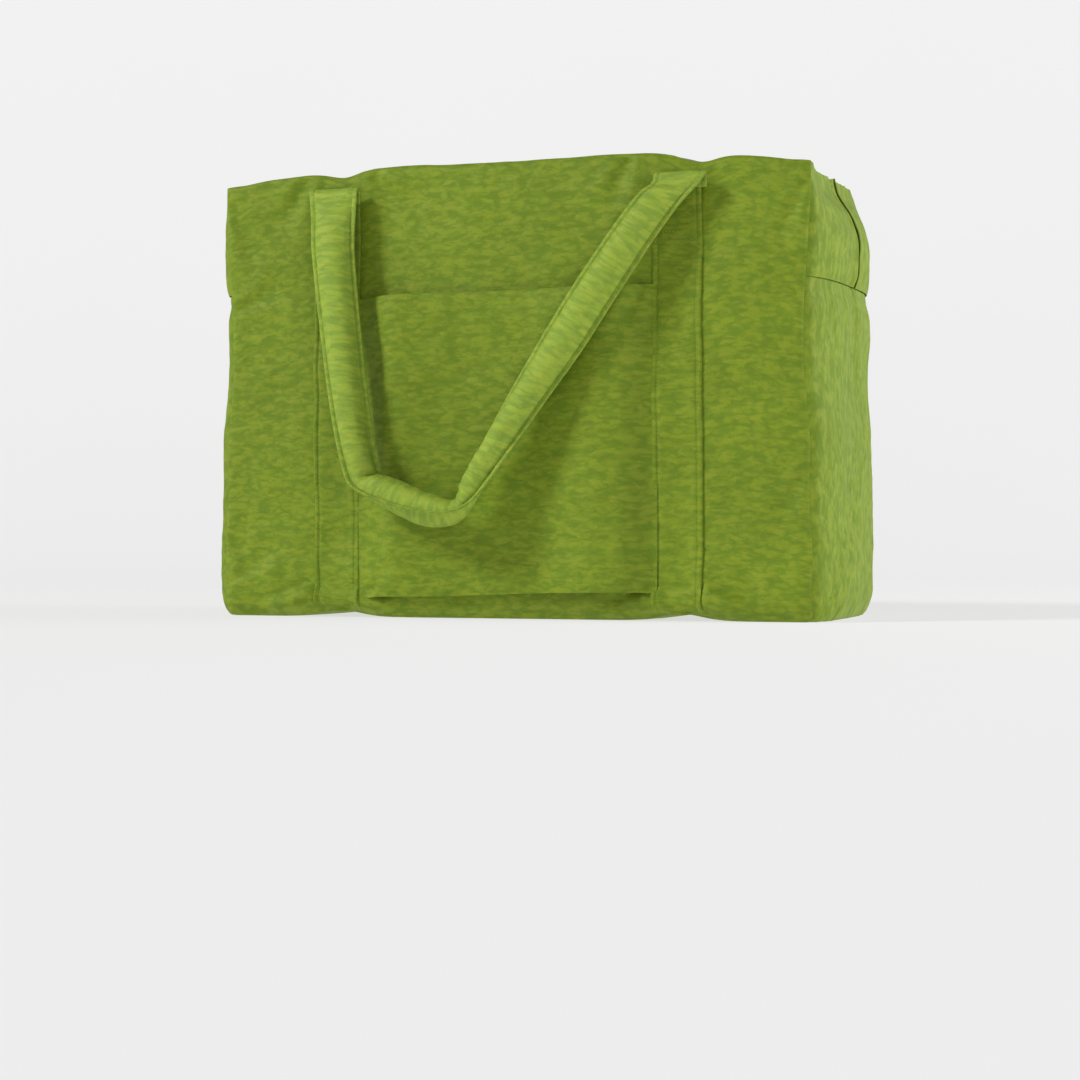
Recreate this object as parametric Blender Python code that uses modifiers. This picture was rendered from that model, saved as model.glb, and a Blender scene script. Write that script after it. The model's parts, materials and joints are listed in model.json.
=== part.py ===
"""Soft travel duffel bag with a zipped top, two padded carrying handles and a trolley sleeve.

Metres, +Z up. The origin is the middle of the bag's flat underside, +X runs to the right-hand end
as seen from the side with the trolley sleeve, and that side faces -Y. The cloth pieces are drawn
thicker than real nylon, as the sewn layers that they are, and the bag is drawn filled and zipped.
"""

import math

import bmesh
import bpy
from mathutils import Matrix, Vector

# Overall size of the filled bag
WIDTH = 0.508
DEPTH = 0.206
HEIGHT = 0.362
CLOTH = 0.0015  # one sewn thickness of a body panel
GAP = 0.0003  # air between pieces that touch
CORNER = 0.010  # radius of the gusset where it turns a corner
FACE_SWELL = 0.004  # how far the filling pushes each piece out
END_SWELL = 0.012
TOP_SWELL = 0.008
TOP_EASE = 0.040  # the top rises over this length from each end, and is level between

# Gusset and zipped strips
SEAM_HEIGHT = 0.272  # the end seam, where the zipped strips meet the lower gusset
SEAM_GAP = 0.0006
MOUTH_HALF = 0.190  # the moving part of the zipped strips ends here along X, short of the closed slider
BINDING = (0.007, 0.0008)  # tape over the raw seams inside: wide, thick
BINDING_INSET = 0.0008  # from the face panel to the tape
ZIP_SLOT = 0.0045  # from the middle of the zip to the edge of the cloth beside it
TAPE_WIDTH = 0.014
TAPE = 0.0008
COIL_WIDTH = 0.0027
COIL = 0.0018
COIL_RISE = 0.0003  # the coil stands this far above the cloth
CHAIN_END = 0.287  # height at which the zip stops on each end of the bag
STOP = (0.0064, 0.0040, 0.0016)  # end stop: across the zip, along it, thick

# Webs: the long strips of self-fabric that carry the handles
WEB_X = 0.1465
WEB_WIDTH = 0.042
WEB = 0.0012
WEB_FOOT = 0.010
TACK_HEIGHT = 0.307
TACK_SIZE = (0.036, 0.008)
THREAD = 0.00035
WEB_TOP = 0.3525
WEB_LIFT = 0.006  # the free top of the web stands this far off the panel

# Trolley sleeve
SLEEVE_HALF = 0.133
SLEEVE_FOOT = 0.018
SLEEVE_TOP = 0.268
SLEEVE = 0.0010
SLEEVE_ROOM = 0.0165  # clear depth for the trolley's tubes
SLEEVE_WALL = (0.100, 0.121)  # its sides slope between these half widths

# Handles
FOLD = Vector((0.0, -0.1130, 0.3565))  # the line about which a handle swings
STRAP_WIDTH = 0.036
STRAP_FLAT = 0.0032
STRAP_PADDED = 0.009
COVER = 0.0008
BACK_REST = 0.1258  # the strap hangs against this distance from the bag's middle: over the sleeve
FRONT_REST = 0.1086  # and over the webs, on the side that has no sleeve
FALL = 0.060  # it has reached that distance this far below the fold

# Zip slider
SLIDER_START = -0.205
SLIDER = (0.0120, 0.0084)  # along and across the zip
PLATE = 0.0010
PULL = (0.026, 0.0075, 0.0012)
BRIDGE = 0.0012  # thickness of the bridge's posts and beam
BRIDGE_DEPTH = 0.0022
BRIDGE_REACH = 0.0034  # from the pin to the middle of either post
BRIDGE_PIN = 0.0026  # the pull turns this far above the slider's plate
BRIDGE_ROOM = 0.0010  # from the pin to the underside of the beam
PULL_EYE = (0.0062, 0.0042)
PULL_DROOP = math.radians(6.5)  # the pull hangs down this far to lie on the cloth

NYLON = (0.19, 0.27, 0.03, 1.0)
THREAD_GREEN = (0.33, 0.43, 0.09, 1.0)
TAPE_GREEN = (0.16, 0.23, 0.03, 1.0)
METAL = (0.35, 0.35, 0.34, 1.0)
FOAM = (0.72, 0.71, 0.66, 1.0)


# ---------------------------------------------------------------- helpers


def clear_scene():
    for obj in list(bpy.data.objects):
        bpy.data.objects.remove(obj)


def material(name, colour, roughness, metallic=0.0):
    made = bpy.data.materials.new(name)
    made.use_nodes = True
    shader = made.node_tree.nodes["Principled BSDF"]
    shader.inputs["Base Color"].default_value = colour
    shader.inputs["Roughness"].default_value = roughness
    shader.inputs["Metallic"].default_value = metallic
    return made


def axis_empty(name, place, collection):
    """An empty on a joint's axis, which carries the pieces that move about it."""
    empty = bpy.data.objects.new(name, None)
    empty.empty_display_size = 0.03
    empty.location = place
    collection.objects.link(empty)
    return empty


def side_empty(name, turned, collection):
    empty = bpy.data.objects.new(name, None)
    empty.rotation_euler = (0.0, 0.0, math.pi if turned else 0.0)
    collection.objects.link(empty)
    return empty


def add_piece(name, mesh, finish, collection, parent=None, about=None, smooth=True):
    """Links a mesh as one named piece. about is where its parent stands, for a mesh drawn in place."""
    if about is not None:
        mesh.transform(Matrix.Translation(-Vector(about)))
    obj = bpy.data.objects.new(name, mesh)
    obj.parent = parent
    mesh.materials.append(finish)
    if smooth:
        mesh.shade_smooth()
    collection.objects.link(obj)
    return obj


def thicken(obj, thickness):
    """Solidifies an open sheet away from the side that its faces show."""
    shell = obj.modifiers.new("Solidify", "SOLIDIFY")
    shell.thickness = thickness
    shell.offset = -1.0
    return obj


def smooth_step(share):
    share = min(1.0, max(0.0, share))
    return share * share * (3 - 2 * share)


def evenly(start, end, count):
    return [start + (end - start) * i / count for i in range(count + 1)]


def sheet(name, across, along, place, towards):
    """A grid whose points are place(a, b), with its faces turned to the side that towards(a, b) gives."""
    bm = bmesh.new()
    bmesh.ops.create_grid(bm, x_segments=len(across) - 1, y_segments=len(along) - 1, size=0.5)
    bm.verts.ensure_lookup_table()
    low = min(v.co.x for v in bm.verts)
    span = max(v.co.x for v in bm.verts) - low
    for v in bm.verts:
        a = across[round((v.co.x - low) / span * (len(across) - 1))]
        b = along[round((v.co.y - low) / span * (len(along) - 1))]
        v.co = place(a, b)
    bm.normal_update()
    bm.faces.ensure_lookup_table()
    middle = (across[len(across) // 2], along[len(along) // 2])
    nearest = min(bm.faces, key=lambda f: (f.calc_center_median() - place(*middle)).length)
    if nearest.normal.dot(towards(*middle)) < 0:
        bmesh.ops.reverse_faces(bm, faces=bm.faces)
    mesh = bpy.data.meshes.new(name)
    bm.to_mesh(mesh)
    bm.free()
    return mesh


def block(name, size, place=(0.0, 0.0, 0.0)):
    """A box of that size about place, as a mesh."""
    bm = bmesh.new()
    bmesh.ops.create_cube(bm, size=1.0)
    bmesh.ops.scale(bm, vec=size, verts=bm.verts)
    bmesh.ops.translate(bm, vec=place, verts=bm.verts)
    mesh = bpy.data.meshes.new(name)
    bm.to_mesh(mesh)
    bm.free()
    return mesh


# ---------------------------------------------------------------- the bag's outer form


def face_out(x, z):
    """Distance of a face panel's outer side from the bag's middle plane."""
    u, w = 2 * x / WIDTH, 2 * z / HEIGHT - 1
    return DEPTH / 2 + FACE_SWELL * max(0.0, 1 - u * u) ** 2 * max(0.0, 1 - w * w) ** 2


BELT_FLAT = WIDTH / 2 - CORNER
BELT_TURN = math.pi / 2 * CORNER
BELT_RISE = HEIGHT - 2 * CORNER


def belt_point(s):
    """(x, z) and the outward (x, z) direction, at arc length s round the bag from its bottom middle."""
    side, s = math.copysign(1.0, s), abs(s)
    if s <= BELT_FLAT:
        x, z, nx, nz = s, 0.0, 0.0, -1.0
    elif s <= BELT_FLAT + BELT_TURN:
        turn = (s - BELT_FLAT) / CORNER
        nx, nz = math.sin(turn), -math.cos(turn)
        x, z = BELT_FLAT + CORNER * nx, CORNER + CORNER * nz
    elif s <= BELT_FLAT + BELT_TURN + BELT_RISE:
        x, z, nx, nz = WIDTH / 2, CORNER + s - BELT_FLAT - BELT_TURN, 1.0, 0.0
    elif s <= BELT_FLAT + 2 * BELT_TURN + BELT_RISE:
        turn = (s - BELT_FLAT - BELT_TURN - BELT_RISE) / CORNER
        nx, nz = math.cos(turn), math.sin(turn)
        x, z = BELT_FLAT + CORNER * nx, HEIGHT - CORNER + CORNER * nz
    else:
        x, z, nx, nz = 2 * BELT_FLAT + 2 * BELT_TURN + BELT_RISE - s, HEIGHT, 0.0, 1.0
    return side * x, z, side * nx, nz


def belt_at_height(z):
    return BELT_FLAT + BELT_TURN + z - CORNER


def belt_at_top(x):
    return 2 * BELT_FLAT + 2 * BELT_TURN + BELT_RISE - x


def belt_swell(s, y):
    """How far the filling pushes the gusset or the zipped strips out at that place."""
    x, z, nx, nz = belt_point(s)
    ends = END_SWELL * 4 * (z / HEIGHT) * (1 - z / HEIGHT) * abs(nx)
    top = TOP_SWELL * smooth_step((WIDTH / 2 - abs(x)) / TOP_EASE) * max(nz, 0.0)
    return (ends + top) * (1 - (2 * y / DEPTH) ** 2)


def belt_sheet(name, stations, edges, outer):
    """A strip of the belt round the bag, its outer side at that offset from the cloth's outer side."""

    def place(s, y):
        x, z, nx, nz = belt_point(s)
        out = belt_swell(s, y) + outer
        return Vector((x + nx * out, y, z + nz * out))

    def towards(s, y):
        _, _, nx, nz = belt_point(s)
        return Vector((nx, 0.0, nz))

    return sheet(name, stations, edges, place, towards)


# ---------------------------------------------------------------- body


def make_face_panel(name, side, finish, collection):
    """One of the two large side panels, drawn on the -Y side."""

    def place(x, z):
        return Vector((x, -face_out(x, z), z))

    mesh = sheet(
        name,
        evenly(-WIDTH / 2, WIDTH / 2, 14),
        evenly(0.0, HEIGHT, 10),
        place,
        lambda x, z: Vector((0.0, -1.0, 0.0)),
    )
    return thicken(add_piece(name, mesh, finish, collection, side), CLOTH)


INSIDE_FACE = DEPTH / 2 - CLOTH - GAP


def make_gusset(finish, collection):
    """The strip that is the bag's underside and both lower ends, in one piece."""
    rise = evenly(belt_at_height(CORNER), belt_at_height(SEAM_HEIGHT), 7)
    turn = evenly(BELT_FLAT, BELT_FLAT + BELT_TURN, 4)[:-1]
    half = turn + rise
    stations = [-s for s in reversed(half)] + half
    mesh = belt_sheet("gusset", stations, evenly(-INSIDE_FACE, INSIDE_FACE, 8), 0.0)
    return thicken(add_piece("gusset", mesh, finish, collection), CLOTH)


def end_stations(first_height):
    """Arc lengths from a height on the bag's end, over the top corner, to where the mouth begins."""
    corner = belt_at_height(HEIGHT - CORNER)
    rise = evenly(belt_at_height(first_height), corner, 4)[:-1]
    turn = evenly(corner, corner + BELT_TURN, 4)[:-1]
    ease = evenly(corner + BELT_TURN, belt_at_top(WIDTH / 2 - TOP_EASE), 3)
    return rise + turn + ease + [belt_at_top(MOUTH_HALF)]


def make_end_strips(finish, collection):
    """The zipped strips where they come down over the bag's ends, two at each end."""
    for end, sign in (("left", -1), ("right", 1)):
        stations = [sign * s for s in end_stations(SEAM_HEIGHT + SEAM_GAP)]
        for side, low, high in (("back", -INSIDE_FACE, -ZIP_SLOT), ("front", ZIP_SLOT, INSIDE_FACE)):
            name = f"end_strip_{end}_{side}"
            mesh = belt_sheet(name, stations, evenly(low, high, 4), 0.0)
            thicken(add_piece(name, mesh, finish, collection), CLOTH)


def mouth_stations():
    """Arc lengths along the moving strips."""
    clear = MOUTH_HALF - SEAM_GAP
    return [belt_at_top(x) for x in evenly(clear, -clear, 8)]


def make_flap(side, sign, axis, about, cloth, tape, collection):
    """A zipped strip along the top, with its half of the zip: the part that swings open."""
    strip = belt_sheet(
        f"top_strip_{side}",
        mouth_stations(),
        evenly(sign * INSIDE_FACE, sign * ZIP_SLOT, 4),
        0.0,
    )
    thicken(add_piece(f"top_strip_{side}", strip, cloth, collection, axis, about), CLOTH)
    band = belt_sheet(
        f"zip_tape_{side}",
        mouth_stations(),
        [sign * TAPE_WIDTH, sign * GAP],
        -CLOTH - GAP,
    )
    thicken(add_piece(f"zip_tape_{side}", band, tape, collection, axis, about), TAPE)
    coil = belt_sheet(
        f"zip_coil_{side}",
        mouth_stations(),
        [sign * COIL_WIDTH, sign * GAP],
        COIL_RISE,
    )
    thicken(add_piece(f"zip_coil_{side}", coil, tape, collection, axis, about), COIL)


def make_end_zips(tape, metal, collection):
    """The closed zip over each end of the bag, with the stop that ends it."""
    for end, sign in (("left", -1), ("right", 1)):
        stations = [sign * s for s in end_stations(SEAM_HEIGHT + SEAM_GAP)]
        band = belt_sheet(f"zip_tape_{end}", stations, [-TAPE_WIDTH, 0.0, TAPE_WIDTH], -CLOTH - GAP)
        thicken(add_piece(f"zip_tape_{end}", band, tape, collection), TAPE)
        stations = [sign * s for s in end_stations(CHAIN_END)]
        coil = belt_sheet(f"zip_coil_{end}", stations, [-COIL_WIDTH, 0.0, COIL_WIDTH], COIL_RISE)
        thicken(add_piece(f"zip_coil_{end}", coil, tape, collection), COIL)
        s = belt_at_height(CHAIN_END - STOP[1])
        out = WIDTH / 2 + belt_swell(s, 0.0) - CLOTH + STOP[2] / 2 + GAP
        stop = block(f"zip_stop_{end}", (STOP[2], STOP[0], STOP[1]), (0.0, 0.0, 0.0))
        obj = add_piece(f"zip_stop_{end}", stop, metal, collection, smooth=False)
        obj.location = (sign * out, 0.0, CHAIN_END - STOP[1])


def make_binding(name, side, finish, collection):
    """The tape that binds the raw seam inside, a flat ring just inside a face panel."""
    width, thick = BINDING
    reach = CLOTH + 2 * GAP
    top = HEIGHT - reach - TAPE - 2 * GAP
    curve = bpy.data.curves.new(name, "CURVE")
    curve.dimensions = "2D"
    curve.fill_mode = "BOTH"
    curve.extrude = thick / 2
    for inset in (0.0, width):
        spline = curve.splines.new("POLY")
        radius = CORNER - inset
        right, low, high = WIDTH / 2 - reach - CORNER, reach + CORNER, top - CORNER
        corners = ((right, low, -90), (right, high, 0), (-right, high, 90), (-right, low, 180))
        points = []
        for x, z, start in corners:
            for step in range(4):
                turn = math.radians(start + 30 * step)
                points.append((x + radius * math.cos(turn), z + radius * math.sin(turn)))
        spline.points.add(len(points) - 1)
        for point, (x, z) in zip(spline.points, points):
            point.co = (x, z, 0.0, 1.0)
        spline.use_cyclic_u = True
    obj = bpy.data.objects.new(name, curve)
    curve.materials.append(finish)
    obj.parent = side
    obj.rotation_euler = (math.pi / 2, 0.0, 0.0)
    obj.location = (0.0, -INSIDE_FACE + BINDING_INSET + thick / 2, 0.0)
    collection.objects.link(obj)


# ---------------------------------------------------------------- webs and sleeve


def web_offset(z):
    """How far a web's inner side stands off the face panel at that height."""
    laid = SLEEVE + 2 * GAP
    if z <= TACK_HEIGHT:
        return laid
    free = (z - TACK_HEIGHT) / (WEB_TOP - TACK_HEIGHT)
    return laid + (WEB_LIFT - laid) * free * free


def make_web(name, x_middle, side, finish, collection):
    """A strip sewn to a face panel from its foot to the tack, and free from there to the handle's fold."""
    heights = evenly(WEB_FOOT, TACK_HEIGHT, 9) + evenly(TACK_HEIGHT, WEB_TOP, 3)[1:]

    def place(x, z):
        return Vector((x, -face_out(x, z) - web_offset(z) - WEB, z))

    across = evenly(x_middle - WEB_WIDTH / 2, x_middle + WEB_WIDTH / 2, 2)
    mesh = sheet(name, across, heights, place, lambda x, z: Vector((0.0, -1.0, 0.0)))
    return thicken(add_piece(name, mesh, finish, collection, side), WEB)


def make_tack(name, x_middle, side, finish, collection):
    """The double row of stitches that ends the sewn part of a web, as one loop of thread."""
    curve = bpy.data.curves.new(name, "CURVE")
    curve.dimensions = "3D"
    curve.bevel_depth = THREAD
    curve.bevel_resolution = 1
    spline = curve.splines.new("POLY")
    corners = [(-1, -1), (1, -1), (1, 1), (-1, 1)]
    spline.points.add(len(corners) - 1)
    centre = TACK_HEIGHT - TACK_SIZE[1]
    for point, (i, k) in zip(spline.points, corners):
        x, z = x_middle + i * TACK_SIZE[0] / 2, centre + k * TACK_SIZE[1] / 2
        y = -face_out(x, z) - web_offset(z) - WEB - 2 * GAP - THREAD
        point.co = (x, y, z, 1.0)
    spline.use_cyclic_u = True
    obj = bpy.data.objects.new(name, curve)
    curve.materials.append(finish)
    obj.parent = side
    collection.objects.link(obj)
    return obj


def sleeve_stand(x):
    """Clear depth behind the sleeve at x: nothing at its sewn edges, full between its sloping sides."""
    inner, outer = SLEEVE_WALL
    return GAP + SLEEVE_ROOM * smooth_step((outer - abs(x)) / (outer - inner))


def make_sleeve(finish, collection):
    inner, outer = SLEEVE_WALL
    wall = evenly(inner, outer, 5)
    half = [0.0, inner / 2] + wall + [SLEEVE_HALF]
    across = [-x for x in reversed(half[1:])] + half

    def place(x, z):
        return Vector((x, -face_out(x, z) - sleeve_stand(x) - SLEEVE, z))

    mesh = sheet(
        "trolley_sleeve",
        across,
        evenly(SLEEVE_FOOT, SLEEVE_TOP, 7),
        place,
        lambda x, z: Vector((0.0, -1.0, 0.0)),
    )
    return thicken(add_piece("trolley_sleeve", mesh, finish, collection), SLEEVE)


# ---------------------------------------------------------------- handles

# The strap as it hangs: x and z of its middle, how far it has turned on edge (degrees), and how
# far its thickness has grown from flat at the fold to bunched at the bottom.
STRAP_ROUTE = [
    (-0.1465, 0.3565, 0, 0.0),
    (-0.1455, 0.3360, 0, 0.3),
    (-0.1440, 0.3050, 0, 1.0),
    (-0.1400, 0.2550, 0, 1.0),
    (-0.1340, 0.2060, 6, 1.0),
    (-0.1260, 0.1630, 28, 1.2),
    (-0.1150, 0.1280, 60, 1.5),
    (-0.0960, 0.1060, 76, 1.8),
    (-0.0680, 0.0950, 80, 1.8),
    (-0.0380, 0.0930, 78, 1.7),
    (-0.0160, 0.1080, 66, 1.5),
    (0.0060, 0.1380, 40, 1.3),
    (0.0330, 0.1760, 20, 1.1),
    (0.0660, 0.2220, 6, 1.0),
    (0.0980, 0.2680, 0, 1.0),
    (0.1230, 0.3080, 0, 1.0),
    (0.1400, 0.3380, 0, 0.3),
    (0.1465, 0.3565, 0, 0.0),
]


def smooth_route(points, steps):
    """Catmull-Rom through rows of numbers, steps to a span."""
    rows = [points[0]] + list(points) + [points[-1]]
    made = []
    for i in range(1, len(rows) - 2):
        for k in range(steps):
            t = k / steps
            a, b, c, d = rows[i - 1 : i + 3]
            weights = (
                -0.5 * t + t**2 - 0.5 * t**3,
                1 - 2.5 * t**2 + 1.5 * t**3,
                0.5 * t + 2 * t**2 - 1.5 * t**3,
                -0.5 * t**2 + 0.5 * t**3,
            )
            made.append([sum(w * v for w, v in zip(weights, values)) for values in zip(a, b, c, d)])
    made.append(list(points[-1]))
    return made


def strap_stations(rest):
    """(middle, outer-edge direction, front direction, thickness) along the hanging strap."""
    rows = smooth_route(STRAP_ROUTE, 2)
    stations = []
    for i, (x, z, turned, bulk) in enumerate(rows):
        ahead, behind = rows[min(i + 1, len(rows) - 1)], rows[max(i - 1, 0)]
        along = Vector((ahead[0] - behind[0], 0.0, ahead[1] - behind[1])).normalized()
        if i in (0, len(rows) - 1):
            along = Vector((0.0, 0.0, -1.0 if i == 0 else 1.0))
        front = Vector((0.0, -1.0, 0.0))
        outward = front.cross(along)
        roll = math.radians(turned)
        edge = outward * math.cos(roll) + front * math.sin(roll)
        face = front * math.cos(roll) - outward * math.sin(roll)
        thick = STRAP_FLAT + (STRAP_PADDED - STRAP_FLAT) * bulk
        fallen = min(1.0, (FOLD.z - z) / FALL)
        behind_strap = -FOLD.y + (rest + FOLD.y) * fallen * (2 - fallen)
        stand = behind_strap + (STRAP_WIDTH * abs(math.sin(roll)) + thick * math.cos(roll)) / 2
        stations.append((Vector((x, -stand, z)), edge, face, thick))
    return stations


def section(width, thick, count=12):
    """Points of a flat oval."""
    made = []
    for i in range(count):
        turn = 2 * math.pi * (i + 0.5) / count
        c, s = math.cos(turn), math.sin(turn)
        made.append(
            (
                math.copysign(abs(c) ** 0.7, c) * width / 2,
                math.copysign(abs(s) ** 0.8, s) * thick / 2,
            )
        )
    return made


def loft(name, stations, trim, capped):
    """A tube whose section is the strap's oval, trim smaller all round."""
    bm = bmesh.new()
    rings = []
    for middle, edge, face, thick in stations:
        rings.append(
            [
                bm.verts.new(middle + edge * u + face * v)
                for u, v in section(STRAP_WIDTH - 2 * trim, thick - 2 * trim)
            ]
        )
    count = len(rings[0])
    for a, b in zip(rings, rings[1:]):
        for i in range(count):
            k = (i + 1) % count
            bm.faces.new((a[i], b[i], b[k], a[k]))
    if capped:
        bm.faces.new(rings[0])
        bm.faces.new(list(reversed(rings[-1])))
        bmesh.ops.recalc_face_normals(bm, faces=bm.faces)
    bm.normal_update()
    middle, _, face, _ = stations[2]
    seen = max(bm.faces, key=lambda f: f.normal.dot(face) - (f.calc_center_median() - middle).length * 50)
    if seen.normal.dot(seen.calc_center_median() - middle) < 0:
        bmesh.ops.reverse_faces(bm, faces=bm.faces)
    mesh = bpy.data.meshes.new(name)
    bm.to_mesh(mesh)
    bm.free()
    return mesh


def make_handle(side_name, rest, axis, about, cloth, foam, collection):
    stations = strap_stations(rest)
    cover = loft(f"{side_name}_handle_cover", stations, 0.0, False)
    obj = add_piece(f"{side_name}_handle_cover", cover, cloth, collection, axis, about)
    thicken(obj, COVER)
    padded = [s for s in stations if s[3] > 0.95 * STRAP_PADDED][1:-1]
    pad = loft(f"{side_name}_handle_pad", padded, COVER + 2.5 * GAP, True)
    add_piece(f"{side_name}_handle_pad", pad, foam, collection, axis, about)


# ---------------------------------------------------------------- zip slider


def slider_place():
    """Where the slider sits: on the middle of the zip, at the cloth's outer height."""
    s = belt_at_top(SLIDER_START)
    return Vector((SLIDER_START, 0.0, HEIGHT + belt_swell(s, 0.0)))


def make_slider(metal, collection):
    """The plate that rides over both coils, with one side flange and the bridge that holds the pull.

    Returns the point about which the pull turns.
    """
    place = slider_place()
    low = COIL_RISE + GAP
    length, width = SLIDER
    plate = block("slider_plate", (length, width, PLATE), (0.0, 0.0, low + PLATE / 2))
    flange_low = -CLOTH + 2 * GAP
    flange = block(
        "slider_flange",
        (length, PLATE, low + PLATE - flange_low),
        (0.0, -width / 2 + PLATE / 2, (low + PLATE + flange_low) / 2),
    )
    top = low + PLATE + BRIDGE_PIN + BRIDGE_ROOM + BRIDGE
    post = (BRIDGE, BRIDGE_DEPTH, top - low)
    left = block("bridge_left", post, (-BRIDGE_REACH, 0.0, (top + low) / 2))
    right = block("bridge_right", post, (BRIDGE_REACH, 0.0, (top + low) / 2))
    span = (2 * BRIDGE_REACH + BRIDGE, BRIDGE_DEPTH, BRIDGE)
    beam = block("bridge_beam", span, (0.0, 0.0, top - BRIDGE / 2))
    obj = add_piece("zip_slider", plate, metal, collection, smooth=False)
    obj.location = place
    cutters = bpy.data.collections["cutters"]
    for mesh in (flange, left, right, beam):
        piece = bpy.data.objects.new(mesh.name, mesh)
        piece.location = place
        piece.hide_render = True
        piece.display_type = "WIRE"
        cutters.objects.link(piece)
        join = obj.modifiers.new(f"Join {mesh.name}", "BOOLEAN")
        join.operation = "UNION"
        join.object = piece
    return place + Vector((0.0, 0.0, low + PLATE + BRIDGE_PIN))


def make_pull(pin, metal, collection):
    """A flat tab with an eye, whose end bar passes under the slider's bridge."""
    length, _, thick = PULL
    empty = axis_empty("pull_axis", pin, collection)
    empty.rotation_euler = (0.0, PULL_DROOP, 0.0)
    bar = thick / 2
    mesh = block("zip_pull", PULL, (length / 2 - bar, 0.0, 0.0))
    obj = add_piece("zip_pull", mesh, metal, collection, empty, smooth=False)
    eye = block("pull_eye", (*PULL_EYE, 3 * thick), (PULL_EYE[0] / 2 + bar, 0.0, 0.0))
    cutter = bpy.data.objects.new("pull_eye", eye)
    cutter.parent = empty
    cutter.hide_render = True
    cutter.display_type = "WIRE"
    bpy.data.collections["cutters"].objects.link(cutter)
    cut = obj.modifiers.new("Eye", "BOOLEAN")
    cut.operation = "DIFFERENCE"
    cut.object = cutter


# ---------------------------------------------------------------- assembly


def main():
    clear_scene()
    bag = bpy.data.collections.new("travel_duffel")
    cutters = bpy.data.collections.new("cutters")
    for collection in (bag, cutters):
        bpy.context.scene.collection.children.link(collection)
    nylon = material("nylon", NYLON, 0.55)
    thread = material("thread", THREAD_GREEN, 0.6)
    tape = material("zip_tape", TAPE_GREEN, 0.7)
    metal = material("zip_metal", METAL, 0.35, 1.0)
    foam = material("foam", FOAM, 0.9)
    back = side_empty("back_side", False, bag)
    front = side_empty("front_side", True, bag)

    make_gusset(nylon, bag)
    make_end_strips(nylon, bag)
    make_end_zips(tape, metal, bag)
    make_sleeve(nylon, bag)
    for name, side, rest in (("back", back, BACK_REST), ("front", front, FRONT_REST)):
        make_face_panel(f"{name}_panel", side, nylon, bag)
        make_binding(f"seam_binding_{name}", side, tape, bag)
        for hand, x in (("left", -WEB_X), ("right", WEB_X)):
            make_web(f"{name}_web_{hand}", x, side, nylon, bag)
            make_tack(f"{name}_tack_{hand}", x, side, thread, bag)
        axis = axis_empty(f"{name}_handle_axis", FOLD, bag)
        axis.parent = side
        make_handle(name, rest, axis, FOLD, nylon, foam, bag)

    for name, sign in (("back", -1), ("front", 1)):
        hinge = Vector((0.0, sign * INSIDE_FACE, HEIGHT))
        axis = axis_empty(f"mouth_{name}_axis", hinge, bag)
        make_flap(name, sign, axis, hinge, nylon, tape, bag)
    make_pull(make_slider(metal, bag), metal, bag)


main()
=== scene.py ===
import json
import math

import bpy
import numpy as np
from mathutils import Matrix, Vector
from mathutils.bvhtree import BVHTree


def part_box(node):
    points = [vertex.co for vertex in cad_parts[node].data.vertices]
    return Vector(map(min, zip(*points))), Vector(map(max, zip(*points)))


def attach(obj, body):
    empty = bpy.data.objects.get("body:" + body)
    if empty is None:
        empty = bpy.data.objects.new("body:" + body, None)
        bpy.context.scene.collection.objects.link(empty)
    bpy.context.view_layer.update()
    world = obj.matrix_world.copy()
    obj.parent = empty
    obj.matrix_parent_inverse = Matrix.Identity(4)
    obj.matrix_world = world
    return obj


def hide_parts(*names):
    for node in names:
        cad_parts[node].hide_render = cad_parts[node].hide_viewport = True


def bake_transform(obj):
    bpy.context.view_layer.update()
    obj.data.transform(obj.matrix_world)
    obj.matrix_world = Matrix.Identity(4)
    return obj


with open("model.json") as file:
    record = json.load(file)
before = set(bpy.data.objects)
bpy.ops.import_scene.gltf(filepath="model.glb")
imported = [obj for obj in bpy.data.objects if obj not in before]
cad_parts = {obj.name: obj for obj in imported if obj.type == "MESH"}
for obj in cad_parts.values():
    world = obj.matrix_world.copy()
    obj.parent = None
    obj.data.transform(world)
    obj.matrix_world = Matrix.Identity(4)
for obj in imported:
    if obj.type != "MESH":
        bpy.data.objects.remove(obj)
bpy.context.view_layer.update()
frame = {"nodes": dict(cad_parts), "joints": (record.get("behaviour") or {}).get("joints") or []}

MM = 0.001  # lengths are in metres, except in the tables that say mm

# ---------------------------------------------------------------- sizes, from the frame

PANEL_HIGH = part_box("back_panel")[1]
HALF = PANEL_HIGH.x  # half the bag's length
HEIGHT = PANEL_HIGH.z
RIM = -PANEL_HIGH.y + 0.7 * MM  # distance of each long seam from the bag's middle plane
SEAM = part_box("gusset")[1].z  # the end seam between the gusset and the zipped strips
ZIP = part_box("top_strip_back")[1].z  # height of the level zip
WEB_X = sum(corner.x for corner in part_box("back_web_right")) / 2
SLEEVE_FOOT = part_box("trolley_sleeve")[0].z
JOINTS = {joint["name"]: joint for joint in frame["joints"]}
FOLD_Z = Vector(JOINTS["back_handle_swing"]["pos_m"]).z  # height at which the handles fold over
CENTRE = np.array([0.0, 0.0, HEIGHT / 2])
SIDES = (("back", -1), ("front", 1))  # each with its sign along Y
ENDS = (("left", -1), ("right", 1))  # each with its sign along X

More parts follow.
